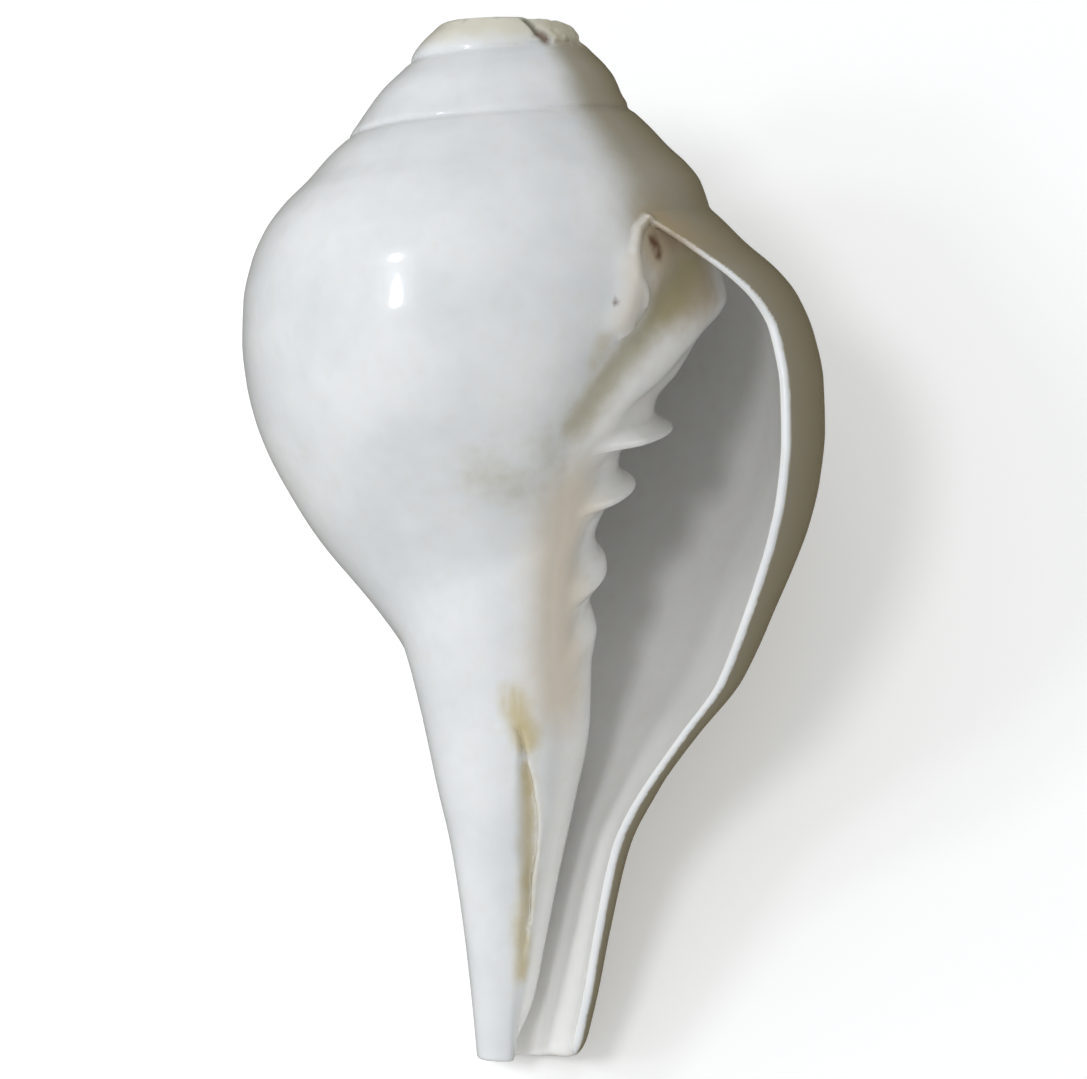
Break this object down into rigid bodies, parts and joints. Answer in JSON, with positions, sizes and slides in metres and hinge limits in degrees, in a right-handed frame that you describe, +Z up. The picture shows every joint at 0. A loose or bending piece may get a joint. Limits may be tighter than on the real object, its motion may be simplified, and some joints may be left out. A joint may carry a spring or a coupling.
{
  "type": "conch shell",
  "caption": "Polished white chank shell lying aperture up, with a folded pillar, a long open canal and its tip cut off for blowing.",
  "frame": {"origin": "centre of the shell's bounding box in plan, at the surface that it rests on", "axes": "+Z up from the surface, +Y along the shell towards the cut apex, +X towards the lip side; the aperture faces up"},
  "size_m": [0.0832, 0.1444, 0.0795],
  "materials": {
    "shell_polished": "polished aragonite, glossy white with cream and olive stains round the aperture"
  },
  "bodies": {
    "root": {"shell": "shell_polished"}
  },
  "joints": []
}
